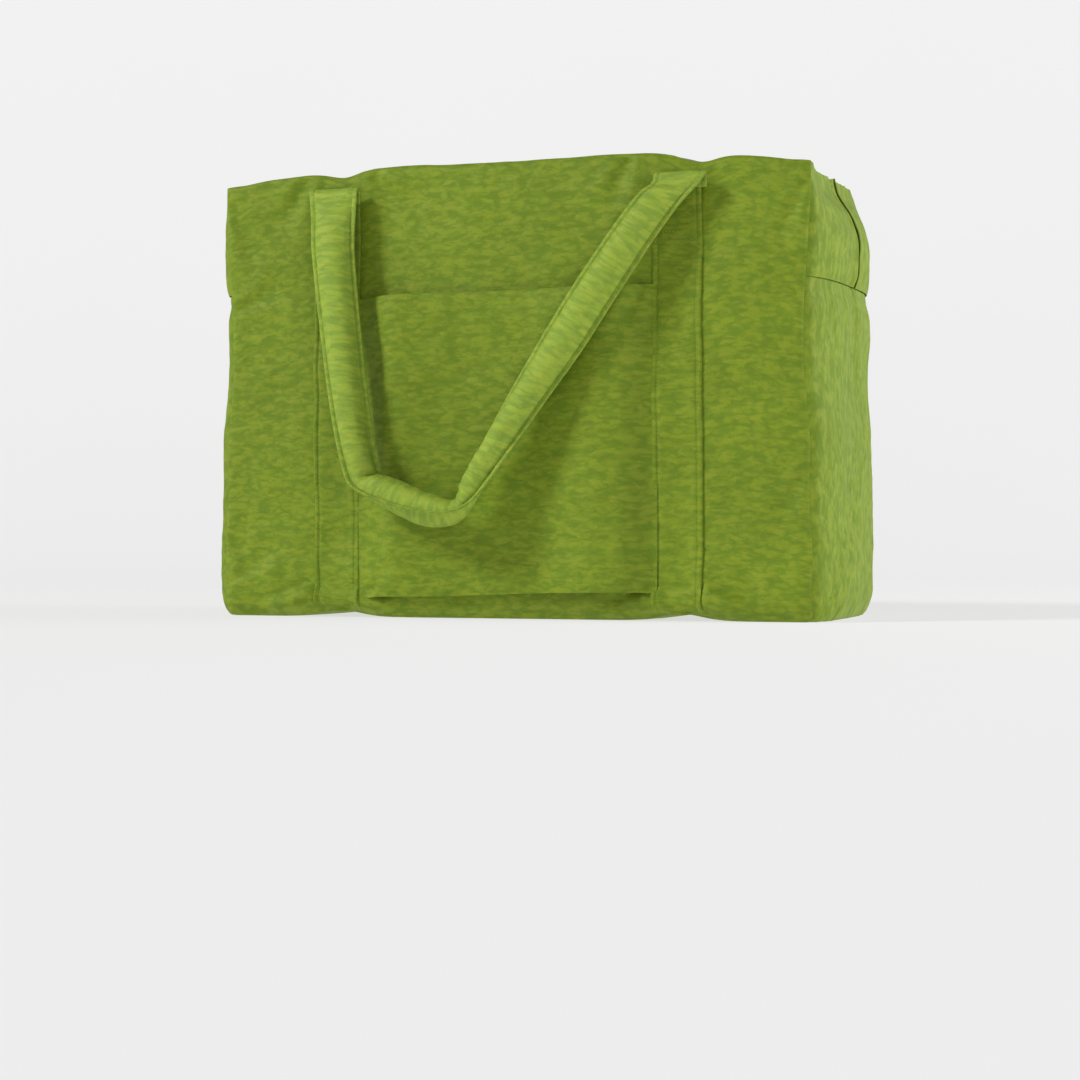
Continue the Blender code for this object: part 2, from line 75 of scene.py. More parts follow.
CLOTH = 0.7 * MM  # thickness
ZIP_SLOT = 1.9 * MM  # from the middle of the zip to each folded edge beside it
GRID = 3.2 * MM  # spacing of the cloth's points
CORNER = 6 * MM  # how far a corner's rounding reaches
DROOP, RISE = 1 * MM, 13 * MM  # the long top seam: low at its ends, high between them
WEB_DIP = 7 * MM  # a handle pulls the top seam down where its web passes
FACE_CROWN = 6.5 * MM  # how far the filling pushes a face panel's middle out
END_CROWN = 15.5 * MM  # and the middle of an end
SEAM_ROLL, SEAM_WIDTH = 2.0 * MM, 1.5 * MM  # how cloth rises out of a seam's groove
ZIP_STITCH = 5.5 * MM  # from a strip's edge at the zip to its row of stitches
LIP_BACK, LIP_FRONT = 1.3 * MM, 2.5 * MM  # how far those edges stand up beside the zip


# ---------------------------------------------------------------- small mathematics


def smooth(value):
    """A soft step as value goes from 0 to 1."""
    value = np.clip(value, 0.0, 1.0)
    return value * value * (3 - 2 * value)


def hill(value, middle, width):
    """1 where value is middle, fading to 0 on both sides."""
    return np.exp(-(((value - middle) / width) ** 2))


def unit(vectors):
    return vectors / np.linalg.norm(vectors, axis=-1)[..., None]


def run_along(path):
    """The length along a row of points, at each of them."""
    steps = np.linalg.norm(np.diff(path, axis=0), axis=1)
    return np.concatenate([[0.0], np.cumsum(steps)])


def lattice(i, j, seed):
    """A repeatable value from -1 to 1 for each pair of whole numbers."""
    h = (i * 374761393 + j * 668265263 + (seed + 11) * 1442695041) & 0xFFFFFFFF
    h = ((h ^ (h >> 13)) * 1274126177) & 0xFFFFFFFF
    h = ((h ^ (h >> 15)) * 2246822519) & 0xFFFFFFFF
    return ((h ^ (h >> 16)) & 0xFFFF) / 32767.5 - 1.0


def noise(u, v, seed):
    """Smooth noise from about -1 to 1. One step of its lattice is 1."""
    i, j = np.floor(u).astype(np.int64), np.floor(v).astype(np.int64)
    a, b = u - i, v - j
    a, b = a**3 * (a * (a * 6 - 15) + 10), b**3 * (b * (b * 6 - 15) + 10)
    low = lattice(i, j, seed) * (1 - a) + lattice(i + 1, j, seed) * a
    high = lattice(i, j + 1, seed) * (1 - a) + lattice(i + 1, j + 1, seed) * a
    return low * (1 - b) + high * b


def rolling(u, v, seed):
    """Noise of three octaves, each turned from the last."""
    total, weight = 0.0, 1.0
    for octave in range(3):
        total += weight * noise(u, v, seed + octave)
        u, v, weight = 1.7 * u + 1.1 * v + 5.3, 1.7 * v - 1.1 * u + 1.9, weight / 2
    return total


def creases(u, v, seed):
    """Noise with sharp crests, from 0 to 1."""
    return 1 - np.abs(rolling(u, v, seed)) ** 0.7


def crumple(u, v, seed):
    """How far washed cloth stands off its own smooth surface. Its small creases run along u."""
    broad = 1.5 * MM * noise(u / 0.095, v / 0.080, seed)
    soft = 0.9 * MM * rolling(u / 0.050, v / 0.030, seed + 7)
    fine = 0.45 * MM * (creases(u / 0.026, v / 0.009, seed + 13) - 0.5)
    return broad + soft + fine


# ---------------------------------------------------------------- meshes


def stations(low, high, step=GRID, close=(1.0 * MM, 2.5 * MM, 5.5 * MM)):
    """Places from low to high, closer together at both ends, where the seams are."""
    first, last = low + close[-1], high - close[-1]
    inner = np.linspace(first, last, max(2, round((last - first) / step) + 1))
    ends = [low] + [low + c for c in close[:-1]]
    return np.array(ends + list(inner) + [low + high - e for e in reversed(ends)])


def mesh_object(name, points, faces, uv, material):
    mesh = bpy.data.meshes.new(name)
    mesh.from_pydata(points.reshape(-1, 3).tolist(), [], faces)
    mesh.validate()
    layer = mesh.uv_layers.new(name="UVMap")
    corners = np.zeros(len(mesh.loops), np.int32)
    mesh.loops.foreach_get("vertex_index", corners)
    layer.data.foreach_set("uv", uv.reshape(-1, 2)[corners].astype(np.float32).ravel())
    mesh.shade_smooth()
    mesh.materials.append(material)
    obj = bpy.data.objects.new(name, mesh)
    bpy.context.scene.collection.objects.link(obj)
    return obj


def grid_faces(rows, columns, wrapped=False):
    """Quads over a grid of points. A wrapped grid's last column joins its first."""
    index = np.arange(rows * columns).reshape(rows, columns)
    right = np.roll(index, -1, axis=1)
    quads = np.stack([index[:-1], right[:-1], right[1:], index[1:]], axis=-1)
    if not wrapped:
        quads = quads[:, :-1]
    return quads.reshape(-1, 4).tolist()


def cloth_sheet(name, points, uv, material, thickness=CLOTH, outward=None):
    """A grid of points as a sheet of cloth. Its outer side is the one that faces outward."""
    rows, columns = points.shape[:2]
    faces = grid_faces(rows, columns)
    a, b, c, _ = faces[len(faces) // 2 + columns // 2]
    flat = points.reshape(-1, 3)
    normal = np.cross(flat[b] - flat[a], flat[c] - flat[b])
    away = flat[a] - CENTRE if outward is None else np.array(outward)
    if normal @ away < 0:
        faces = [face[::-1] for face in faces]
    obj = mesh_object(name, points, faces, uv, material)
    shell = obj.modifiers.new("Thickness", "SOLIDIFY")
    shell.thickness = thickness
    shell.offset = -1.0
    rim = obj.modifiers.new("Crisp rim", "EDGE_SPLIT")
    rim.split_angle = math.radians(65)
    return obj


def tube_faces(rows, columns):
    """Faces of a tube of closed rings, with a cap at each end."""
    caps = [list(range(columns))[::-1], list(range((rows - 1) * columns, rows * columns))]
    return grid_faces(rows, columns, wrapped=True) + caps


def stitches(name, lines, material, pitch=3.0 * MM, length=2.1 * MM, radius=0.30 * MM, slant=0.0):
    """Rows of thread. Each line is (points along it, the directions in which the cloth faces)."""
    shape = ((-1.0, 0.15), (-0.75, 0.8), (0.0, 1.0), (0.75, 0.8), (1.0, 0.15))  # place, thickness
    sides = 6
    angles = np.arange(sides) * 2 * math.pi / sides
    nearby = 1e-4
    points, faces = [], []
    for path, facing in lines:
        path, facing = np.array(path, float), np.array(facing, float)
        run = run_along(path)
        for middle in np.arange(pitch / 2, run[-1] - pitch / 2, pitch):
            near = (middle - nearby, middle, middle + nearby)
            before, place, after = np.stack([np.interp(near, run, path[:, k]) for k in range(3)], 1)
            along = (after - before) / np.linalg.norm(after - before)
            up = np.array([np.interp(middle, run, facing[:, k]) for k in range(3)])
            up -= along * (up @ along)
            up /= np.linalg.norm(up)
            across = np.cross(along, up)
            along = along * math.cos(slant) + across * math.sin(slant)
            across = np.cross(along, up)
            first = len(points)
            for share, size in shape:
                sunk = radius * (0.35 - 0.9 * share * share)
                core = place + along * (share * length / 2) + up * sunk
                for angle in angles:
                    round_it = across * math.cos(angle) + up * math.sin(angle)
                    points.append(core + round_it * radius * size)
            faces += [[first + k for k in face] for face in tube_faces(len(shape), sides)]
    points = np.array(points)
    return mesh_object(name, points, faces, points[:, [0, 2]], material)


def through(points, count=8):
    """A smooth curve through rows of numbers (Catmull-Rom)."""
    rows = np.array(points, float)
    rows = np.vstack([2 * rows[0] - rows[1], rows, 2 * rows[-1] - rows[-2]])
    made = []
    for a, b, c, d in zip(rows, rows[1:], rows[2:], rows[3:]):
        for t in np.arange(count) / count:
            bend = (2 * a - 5 * b + 4 * c - d) * t**2 + (3 * b - a - 3 * c + d) * t**3
            made.append(0.5 * (2 * b + (c - a) * t + bend))
    made.append(rows[-2])
    return np.array(made)


# ---------------------------------------------------------------- materials


class Nodes:
    """A short way to write a material's nodes."""

    def __init__(self, name):
        self.material = bpy.data.materials.new(name)
        self.material.use_nodes = True
        self.tree = self.material.node_tree
        self.shader = self.tree.nodes["Principled BSDF"]

    def link(self, source, target):
        if hasattr(source, "is_output"):
            self.tree.links.new(source, target)
        else:
            target.default_value = source

    def set(self, **values):
        for name, value in values.items():
            self.shader.inputs[name.replace("_", " ")].default_value = value

    def drive(self, name, source):
        self.link(source, self.shader.inputs[name])

    def math(self, operation, a, b, kind="ShaderNodeMath"):
        node = self.tree.nodes.new(kind)
        node.operation = operation
        self.link(a, node.inputs[0])
        self.link(b, node.inputs[1])
        return node.outputs[0]

    def add(self, first, *others):
        for other in others:
            first = self.math("ADD", first, other)
        return first

    def vector_math(self, operation, a, b):
        return self.math(operation, a, b, "ShaderNodeVectorMath")

    def noise(self, vector, step, detail=2.0, roughness=0.5):
        """Noise whose features are about step = (along, across) metres in size."""
        scaled = self.vector_math("MULTIPLY", vector, (1 / step[0], 1 / step[1], 1.0))
        node = self.tree.nodes.new("ShaderNodeTexNoise")
        node.inputs["Scale"].default_value = 1.0
        node.inputs["Detail"].default_value = detail
        node.inputs["Roughness"].default_value = roughness
        self.link(scaled, node.inputs["Vector"])
        return node.outputs

    def range(self, value, low, high, to_low=0.0, to_high=1.0):
        node = self.tree.nodes.new("ShaderNodeMapRange")
        node.interpolation_type = "SMOOTHSTEP"
        for source, target in zip((value, low, high, to_low, to_high), node.inputs):
            self.link(source, target)
        return node.outputs[0]

    def mix(self, share, a, b, blend="MIX"):
        node = self.tree.nodes.new("ShaderNodeMix")
        node.data_type = "RGBA"
        node.blend_type = blend
        self.link(share, node.inputs[0])
        self.link(a, node.inputs[6])
        self.link(b, node.inputs[7])
        return node.outputs[2]

    def bump(self, height, distance):
        node = self.tree.nodes.new("ShaderNodeBump")
        node.inputs["Strength"].default_value = 1.0
        node.inputs["Distance"].default_value = distance
        self.link(height, node.inputs["Height"])
        self.drive("Normal", node.outputs[0])

    def uv(self):
        return self.tree.nodes.new("ShaderNodeUVMap").outputs[0]


PALE_GREEN = (0.206, 0.292, 0.0125)
OLIVE = (0.238, 0.298, 0.0165)
DEEP_GREEN = (0.139, 0.222, 0.0090)
FILLING_AND_PAINTED_LIGHT_WHITE = 0.06  # what a pale filling behind the cloth adds to each part of its colour, together with painted light that stands in for the key light on a strap's front
CELL = (0.0120, 0.0052)  # size of the crinkles' cells, along and across


def crinkle_nylon(name, filling_and_painted_light=1.0):
    """Washed nylon: ragged pale patches among darker ones, longest along the UV map's U."""
    m = Nodes(name)
    shades = []
    # A value above 1 lightens every shade: partly for a pale filling, partly as painted light.
    for shade in (DEEP_GREEN, PALE_GREEN, OLIVE):
        shades.append([part * filling_and_painted_light + FILLING_AND_PAINTED_LIGHT_WHITE * (filling_and_painted_light - 1) for part in shade] + [1.0])
    deep, green, olive = shades
    flat = m.uv()
    wander = m.vector_math("SUBTRACT", m.noise(flat, (0.009, 0.006), 2, 0.5)[1], (0.5, 0.5, 0.5))
    bent = m.vector_math("ADD", flat, m.vector_math("MULTIPLY", wander, (0.0075, 0.0034, 0.0)))
    cells = m.tree.nodes.new("ShaderNodeTexVoronoi")
    cells.voronoi_dimensions = "2D"
    cells.feature = "DISTANCE_TO_EDGE"
    cells.inputs["Scale"].default_value = 1.0
    m.link(m.vector_math("MULTIPLY", bent, (1 / CELL[0], 1 / CELL[1], 1.0)), cells.inputs["Vector"])
    border = m.range(cells.outputs[0], 0.0, 0.32, 1.0, 0.0)
    patch = m.noise(bent, (0.0138, 0.0062), 4, 0.60)[0]
    patch = m.math("SUBTRACT", patch, m.math("MULTIPLY", border, 0.086))
    pale = m.range(patch, 0.315, 0.600)
    streak = m.range(m.noise(bent, (0.045, 0.0080), 2, 0.5)[0], 0.50, 0.74)
    pale = m.math("MULTIPLY", pale, m.math("SUBTRACT", 1.0, m.math("MULTIPLY", streak, 0.50)))
    warm = m.range(m.noise(flat, (0.0090, 0.0060), 3, 0.6)[0], 0.38, 0.70)
    wide = m.range(m.noise(flat, (0.120, 0.080), 2)[0], 0.35, 0.65)
    slub = m.noise(flat, (0.0050, 0.0008), 2)[0]
    warp = m.noise(flat, (0.0007, 0.0050), 2)[0]
    grain = m.noise(flat, (0.0016, 0.0013), 3, 0.6)[0]
    colour = m.mix(pale, deep, m.mix(warm, green, olive))
    parts = [m.math("MULTIPLY", part, share) for part, share in
             ((wide, 0.07), (slub, 0.16), (warp, 0.16), (grain, 0.22))]
    tone = m.add(*parts, 0.69)
    m.drive("Base Color", m.mix(1.0, colour, tone, "MULTIPLY"))
    threads = m.math("MULTIPLY", m.add(slub, warp, grain), 0.12)
    relief = m.add(m.math("MULTIPLY", patch, 1.2), m.math("MULTIPLY", border, -0.12))
    m.bump(m.add(relief, threads), 0.42 * MM)
    m.drive("Roughness", m.range(pale, 0.0, 1.0, 0.70, 0.62))
    m.set(Specular_IOR_Level=0.26, Sheen_Weight=0.05, Sheen_Roughness=0.40)
    m.set(Sheen_Tint=(0.85, 0.95, 0.55, 1.0))
    return m.material


def sewing_thread():
    m = Nodes("sewing_thread")
    twist = m.noise(m.uv(), (0.0006, 0.0006), 1)[0]
    m.drive("Base Color", m.mix(twist, (0.17, 0.25, 0.018, 1), (0.31, 0.40, 0.055, 1)))
    m.set(Roughness=0.7, Sheen_Weight=0.05)
    return m.material


def woven_tape():
    m = Nodes("woven_tape")
    rib = m.noise(m.uv(), (0.0008, 0.0030), 1)[0]
    m.drive("Base Color", m.mix(rib, (0.11, 0.17, 0.015, 1), (0.17, 0.25, 0.030, 1)))
    m.bump(rib, 0.15 * MM)
    m.set(Roughness=0.75, Sheen_Weight=0.15)
    return m.material


def coil_plastic():
    m = Nodes("coil_plastic")
    worn = m.noise(m.uv(), (0.004, 0.004), 2)[0]
    m.drive("Base Color", m.mix(worn, (0.12, 0.18, 0.018, 1), (0.20, 0.28, 0.040, 1)))
    m.drive("Roughness", m.range(worn, 0.3, 0.7, 0.32, 0.45))
    return m.material


def zip_metal():
    m = Nodes("zip_metal")
    position = m.tree.nodes.new("ShaderNodeTexCoord").outputs["Object"]
    brushed = m.noise(position, (0.0060, 0.0003), 2)[0]
    m.drive("Base Color", m.mix(brushed, (0.30, 0.30, 0.29, 1), (0.46, 0.46, 0.44, 1)))
    m.drive("Roughness", m.range(brushed, 0.2, 0.8, 0.26, 0.42))
    m.set(Metallic=1.0)
    return m.material


NYLON = crinkle_nylon("crinkle_nylon")
PADDED_NYLON_PAINTED_LIGHT = crinkle_nylon("padded_crinkle_nylon_painted_light", 1.36)  # lighter all over: a pale filling shows through it, and painted light stands in for the key light on the strap's front
THREAD = sewing_thread()
TAPE = woven_tape()
COIL = coil_plastic()
METAL = zip_metal()


# ---------------------------------------------------------------- the body's cloth


def top_seam(x):
    """Height of the long top seam."""
    dip = WEB_DIP * (hill(x, -WEB_X, 0.019) + 1.3 * hill(x, WEB_X + 0.013, 0.021))
    return HEIGHT - DROOP + RISE * (1 - np.abs(x / HALF) ** 4) - dip


def outline(x, z, seed):
    """Where a point of a flat face panel goes in the panel's own plane."""
    high = z * top_seam(x) / HEIGHT
    to_side = np.clip(1 - (HALF - np.abs(x)) / CORNER, 0, 1)
    to_end = np.clip(1 - np.minimum(z, HEIGHT - z) / CORNER, 0, 1)
    turn = 0.28 * CORNER * to_side * to_end * (z < HEIGHT / 2)
    ear = 2.0 * MM * hill(np.hypot(HALF - np.abs(x), HEIGHT - z), 0, 14 * MM)
    away = np.sign(z - HEIGHT / 2)
    edge = np.abs(x / HALF) ** 8
    sway = edge * np.sign(x) * 1.3 * MM * noise(z / 0.05, z * 0, seed)
    lift = (z / HEIGHT) ** 8 * 1.0 * MM * noise(x / 0.045, x * 0, seed + 3)
    return x - np.sign(x) * (turn + 0.5 * ear) + sway, high - away * turn + lift + ear


def seam_roll(distance):
    return SEAM_ROLL * (1 - np.exp(-distance / SEAM_WIDTH))


def puckers(along, distance, seed):
    """Small gathers that run away from a seam."""
    size = 0.8 * MM * np.exp(-distance / 0.016) * smooth(distance / 0.004)
    return size * rolling(along / 0.015, distance / 0.040, seed)


FACE_X = stations(-HALF, HALF)
FACE_Z = stations(0.0, HEIGHT)
UNDRAWN_SEAM = SEAM * HEIGHT / (HEIGHT - DROOP)  # the end seam's height before outline() moves it
SEAM_ROW = int(np.argmin(abs(FACE_Z - UNDRAWN_SEAM)))
FACE_Z[SEAM_ROW] = UNDRAWN_SEAM


def front_corners(x, z):
    """The front panel's top corners stand up and draw in, which shows beyond the zipped end."""
    out = np.abs(x)
    drawn = 11 * MM * np.clip((z - 0.326) / 0.036, 0, 1) ** 1.3 * smooth((out - 0.140) / 0.114)
    return -np.sign(x) * drawn, 13 * MM * hill(out, 0.216, 0.040) * (z / HEIGHT) ** 5


def pouches(x, z, lines):
    """Height of slack that bulges below soft creases: x, z to x, z and a height each, in mm."""
    total = 0.0 * x
    for x0, z0, x1, z1, height in np.array(lines) * MM:
        length = math.hypot(x1 - x0, z1 - z0)
        along = ((x - x0) * (x1 - x0) + (z - z0) * (z1 - z0)) / length**2
        below = -((x1 - x0) * (z - z0) - (z1 - z0) * (x - x0)) / length * np.sign(x1 - x0)
        fade = smooth((along + 0.10) / 0.15) * smooth((1.25 - along) / 0.8)
        step = smooth((below + 1.5 * MM) / (6 * MM)) * hill(np.maximum(below, 0), 0, 0.030)
        total += height * (step - 0.35 * hill(below, -3.0 * MM, 3.5 * MM)) * fade
    return total


FACE_POUCHES = [  # mm
    (170, 28, 214, 12, 6),
    (-174, 26, -222, 10, 6),
    (-130, 24, -96, 11, 4.5),
    (128, 26, 82, 10, 4.5),
]


def folds(x, z, lines):
    """Depth of creases with raised banks: x, z to x, z, a width and a depth each, in mm."""
    total = 0.0 * x
    for x0, z0, x1, z1, width, depth in np.array(lines) * MM:
        length = math.hypot(x1 - x0, z1 - z0)
        along = ((x - x0) * (x1 - x0) + (z - z0) * (z1 - z0)) / length**2
        off = ((x - x0) * (z1 - z0) - (z - z0) * (x1 - x0)) / length
        spread = width * (0.5 + np.clip(along, 0, 1))
        fade = smooth((along + 0.25) / 0.3) * smooth((1.2 - along) / 0.7)
        banks = hill(np.abs(off), 1.9 * spread, spread)
        total += depth * (hill(off, 0, spread) - 0.55 * banks) * fade
    return total


FACE_FOLDS = [  # mm
    (168, 56, 214, 30, 4, 1.6),
    (-252, 75, -222, 30, 5, 1.8),
    (-246, 30, -200, 60, 7, 1.4),
    (108, 368, 90, 322, 6, 2.6),
    (172, 360, 196, 318, 6, 2),
    (-175, 362, -205, 318, 7, 2.2),
    (-122, 366, -95, 325, 6, 2.4),
    (-250, 258, -205, 272, 6, 2),
    (251, 262, 214, 278, 5, 1.8),
    (252, 120, 222, 70, 6, 1.8),
    (-252, 350, -226, 300, 6, 2),
    (251, 350, 232, 300, 5, 1.8),
    (-60, 12, -20, 22, 5, 1.8),
    (118, 4, 80, 20, 5, 2.2),
]


def face_grid(side, seed):
    """Points of a face panel: side is -1 at the back, where the sleeve is, and 1 at the front."""
    x0, z0 = np.meshgrid(FACE_X, FACE_Z)
    x, z = outline(x0, z0, seed)
    bow = hill(z0, 0.235, 0.100) * np.abs(x0 / HALF) ** 3
    x -= np.sign(x0) * (7.0 if side < 0 else 4.0) * MM * bow
    to_rim = np.minimum(np.minimum(HALF - np.abs(x0), z0), HEIGHT - z0)
    crown = FACE_CROWN * (1 - np.abs(x0 / HALF) ** 2.5) * (1 - np.abs(2 * z0 / HEIGHT - 1) ** 2.5)
    belts = hill(x0, -WEB_X - 3 * MM, 0.024) + hill(x0, WEB_X, 0.024)
    along = np.where(HALF - np.abs(x0) < np.minimum(z0, HEIGHT - z0), z0, x0)
    standing = crown + seam_roll(to_rim) + puckers(along + 3.0, to_rim, seed + 40)
    standing -= 2.6 * MM * belts * smooth(to_rim / 0.03)
    standing += crumple(x0, z0, seed) * smooth(to_rim / 0.022)
    # Slack gathers low, where the filling has settled, and the underside's seam tucks in.
    low = hill(z0, 0.026, 0.024) * smooth(to_rim / 0.010)
    lumps = 1.8 * MM * rolling(x0 / 0.034, z0 / 0.09, seed + 21)
    standing += low * (lumps + 2.0 * MM * (1 - belts))
    standing -= 5.0 * MM * (1 - smooth(z0 / 0.013))
    standing -= folds(side * -x0, z0, FACE_FOLDS) * smooth(to_rim / 0.005)
    standing += pouches(side * -x0, z0, FACE_POUCHES) * smooth(to_rim / 0.005)
    z += 5.5 * MM * belts * (1 - smooth(z0 / 0.030))
    if side > 0:
        inward, upward = front_corners(x0, z0)
        x, z = x + inward, z + upward
    return np.stack([x, side * (RIM + standing), z], axis=-1)


def edge_points(grid, name):
    """The points of one edge of a face panel, left to right or upwards."""
    return {"left": grid[:, 0], "right": grid[:, -1], "bottom": grid[0], "top": grid[-1]}[name]


BACK_GRID = face_grid(-1, 100)
FRONT_GRID = face_grid(1, 200)
BELT_Y = stations(-RIM, RIM, 2.4 * MM)


def end_bulge(z):
    """How far the filling pushes the bag's end out in its middle, at that height."""
    full = END_CROWN * smooth((z + 0.020) / 0.045) * (1 - 0.85 * smooth((z - 0.305) / 0.050))
    pinch = 3.0 * MM * hill(z, SEAM - 0.004, 0.009)
    return full - pinch


END_RIDGES = [  # mm
    (-88, 12, 12, 170, 2.6, -1.5),
    (-60, 10, 56, 190, 2.6, -1.3),
    (-78, 16, -20, 110, 2.4, -1.1),
    (6, 270, 30, 150, 3, -1.3),
    (-70, 262, -50, 180, 4, 1.2),
]


def belt_grid(runs, seed, across, plain=False, end=0):
    """Points of the gusset or a zipped strip between two face panels' edges.

    runs is a list of (edge name, row or column numbers), in order. Returns the points and the
    length along the strip at each row. With end -1 or 1, a half strip's length counts from the
    middle of the top, down at that end, so that its two halves match there.
    """
    back = np.concatenate([edge_points(BACK_GRID, name)[picked] for name, picked in runs])
    front = np.concatenate([edge_points(FRONT_GRID, name)[picked] for name, picked in runs])
    middle = (back + front) / 2
    keep = np.concatenate([[True], np.linalg.norm(np.diff(middle, axis=0), axis=1) > 1e-6])
    back, front, middle = back[keep], front[keep], middle[keep]
    run = run_along(middle)
    tangent = np.gradient(middle, run, axis=0)
    if end:
        tangent[-1] = (end * -np.linalg.norm(tangent[-1]), 0.0, 0.0)
        run = end * (run[-1] - run)
    normal = unit(np.stack([tangent[:, 2], 0 * run, -tangent[:, 0]], axis=-1))
    outward = np.sum(normal * (middle - CENTRE), axis=1)
    normal *= np.sign(outward)[:, None]
    share = (across / RIM + 1) / 2
    points = back[:, None] * (1 - share)[None, :, None] + front[:, None] * share[None, :, None]
    s, y = run[:, None], across[None, :]
    x, z = middle[:, 0][:, None], middle[:, 2][:, None]
    t = np.abs(y / RIM)
    sideways = np.abs(normal[:, 0])[:, None]
    up, down = np.maximum(normal[:, 2], 0)[:, None], np.maximum(-normal[:, 2], 0)[:, None]
    round_ends = (1 - t**3.4) ** 0.65
    level = ZIP - 19 * MM * smooth((np.abs(x) - 0.208) / 0.044) - z
    saddle = level * np.where(level < 0, 1 - t**9, 1 - t**3) * smooth((up - 0.35) / 0.4)
    to_rim = RIM - np.abs(y)
    notch = 2.2 * MM * hill(z, SEAM - 0.009, 0.008) * t**2 * sideways
    standing = end_bulge(z) * round_ends * sideways + saddle - notch
    standing += seam_roll(to_rim) * (1 - down)
    free = 1 - sideways * hill(z, SEAM, 8 * MM)  # the end seam holds both its pieces still
    gathers = puckers(s + y * 0, to_rim + 0 * s, seed + 40) * (1 - 0.5 * up) * (1 - down) * free
    loose = smooth(to_rim / 0.022) * (1 - down) * free
    tucked = 0.1 * MM if end else 1.7 * MM  # the gusset's edge lies under the strips' folded ends
    standing -= tucked * sideways * hill(z, SEAM, 2.2 * MM)
    s, y = s + 0 * y, y + 0 * s
    cloth = crumple(s, y, seed) * 0.6 + 0.8 * MM * rolling(y / 0.03, s / 0.09, seed)
    cloth += 1.1 * MM * (creases(s / 0.1 + y / 0.06, y / 0.017, seed + 60) - 0.6) * sideways
    if not plain:
        standing = standing + gathers + cloth * loose * (1 - 0.35 * up)
        ridges = folds(y * np.sign(x), z + 0 * y, END_RIDGES)
        standing -= ridges * smooth(to_rim / 0.010) * sideways
    points += normal[:, None, :] * standing[:, :, None]
    # The strips cut each top corner short, so the face panels' corners stand up beside them.
    to_corner = np.hypot(HALF - np.abs(x), z - (HEIGHT - DROOP))
    pull = (8 - 5 * smooth(0.5 + 0.5 * y / RIM)) * MM * hill(to_corner, 0, 0.022) * (1 - t**8)
    points[..., 0] -= np.sign(x) * pull * 0.7
    points[..., 2] = np.maximum(points[..., 2] - pull * 0.7, 0.0)
    return points, run


def half_runs(end):
    """The face panels' edges beside half of the zip, from the end seam to the top's middle."""
    columns = len(FACE_X)
    inward = range(columns // 2 + 1) if end == "left" else range(columns - 1, columns // 2 - 1, -1)
    return [(end, range(SEAM_ROW, len(FACE_Z))), ("top", inward)]


def uv_grid(first, second, shift):
    """A UV map in metres over a grid, moved so that no two pieces show the same cloth."""
    a, b = np.meshgrid(first, second)
    return np.stack([a + 1.7 * shift, b + 2.9 * shift], axis=-1)


def make_body():
    for name, grid, shift in (("back", BACK_GRID, 1), ("front", FRONT_GRID, 2)):
        uv = uv_grid(FACE_X, FACE_Z, shift)
        panel = cloth_sheet(f"{name}_face", grid, uv, NYLON, outward=(0, grid[5, 5, 1], 0))
        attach(panel, "bag")
        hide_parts(f"{name}_panel")
    down, along, up = range(SEAM_ROW, -1, -1), range(len(FACE_X)), range(SEAM_ROW + 1)
    points, run = belt_grid([("left", down), ("bottom", along), ("right", up)], 300, BELT_Y)
    uv = np.swapaxes(uv_grid(run, BELT_Y, 3), 0, 1)
    gusset = cloth_sheet("lower_gusset", points, uv, NYLON)
    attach(gusset, "bag")
    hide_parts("gusset")

    for end, hand in ENDS:
        for side, sign in SIDES:
            across = stations(-RIM, -ZIP_SLOT) if sign < 0 else stations(ZIP_SLOT, RIM)
            points, run = belt_grid(half_runs(end), 500 + 50 * sign, across, end=hand)
            points = fold_zip_edge(points, across)
            uv = np.swapaxes(uv_grid(run, across, 5 + sign), 0, 1)
            strip = cloth_sheet(f"zip_strip_{side}_{end}", points, uv, NYLON)
            mouth_blend(strip)
            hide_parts(f"end_strip_{end}_{side}", f"top_strip_{side}")
            stitch_zip_edge(points, across, side, end)


def fold_zip_edge(points, across):
    """Lifts a strip's edge into a lip over the zip, with a stitched valley behind it."""
    from_slot = np.abs(across) - ZIP_SLOT
    from_middle = (len(points) - 1 - np.arange(len(points))) / 9.0
    wavy = 1 + 0.35 * noise(from_middle, 0 * from_middle, 31)
    normals, around = surface_normals(points), 4
    first, last = normals[:1].repeat(around, axis=0), normals[-1:].repeat(around, axis=0)
    padded = np.concatenate([first, normals, last])
    normals = unit(sum(padded[k:k + len(points)] for k in range(2 * around + 1)))
    # The lips lie almost flat on the level top, where the slider runs over them.
    upright = 0.12 + 0.88 * smooth(np.abs(normals[..., 0]) / 0.9)
    height = (LIP_BACK if across[0] < 0 else LIP_FRONT) * upright
    ridge = height * wavy[:, None] * hill(from_slot, 0, 3.0 * MM)
    valley = -0.9 * MM * hill(from_slot, ZIP_STITCH, 1.0 * MM)
    return points + normals * (ridge + valley)[..., None]


def surface_normals(points):
    """Unit normals of a grid of points, facing away from the bag's middle."""
    du, dv = np.gradient(points, axis=0), np.gradient(points, axis=1)
    normals = np.cross(du, dv)
    normals /= np.maximum(np.linalg.norm(normals, axis=-1), 1e-12)[..., None]
    facing = np.sum(normals * (points - CENTRE), axis=-1)
    return normals * np.sign(facing)[..., None]


def mouth_blend(piece):
    """Bakes a piece's placement into its points."""
    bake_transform(piece)


def stitch_zip_edge(points, across, side, end):
    column = int(np.argmin(abs(np.abs(across) - ZIP_SLOT - ZIP_STITCH)))
    normals = surface_normals(points)
    line = points[:, column] + normals[:, column] * 0.1 * MM
    row = stitches(f"zip_stitches_{side}_{end}", [(line, normals[:, column])], THREAD)
    mouth_blend(row)


make_body()


def ray_tree(grid):
    return BVHTree.FromPolygons(grid.reshape(-1, 3).tolist(), grid_faces(*grid.shape[:2]))


FACE_TREES = {-1: ray_tree(BACK_GRID), 1: ray_tree(FRONT_GRID)}


